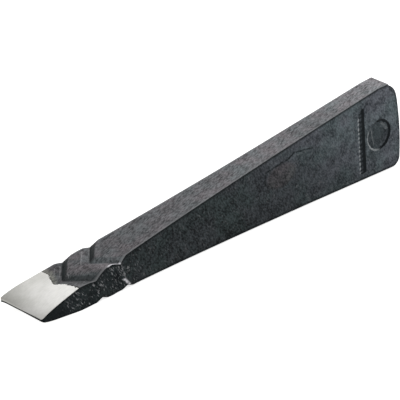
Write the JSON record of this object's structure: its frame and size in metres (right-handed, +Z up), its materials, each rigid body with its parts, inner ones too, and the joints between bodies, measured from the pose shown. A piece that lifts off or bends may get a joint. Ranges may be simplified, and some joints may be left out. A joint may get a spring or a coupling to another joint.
{
  "type": "splitting wedge",
  "caption": "Slim forged splitting wedge with a flared, ground cutting edge, chevron grip notches across its working faces and a crowned striking face.",
  "frame": {"origin": "on the flat lower working face that the wedge lies on, under the middle of its length and width", "axes": "+X from the cutting edge towards the striking face, +Y from the marked side towards the plain side, +Z up, square to the lower working face"},
  "size_m": [0.2496, 0.0316, 0.0499],
  "materials": {
    "forged_steel": "black forging finish over steel, rubbed to a satin grey on the working faces, with the cutting bevels ground bright"
  },
  "bodies": {
    "root": {"forged_wedge": "forged_steel"}
  },
  "joints": []
}
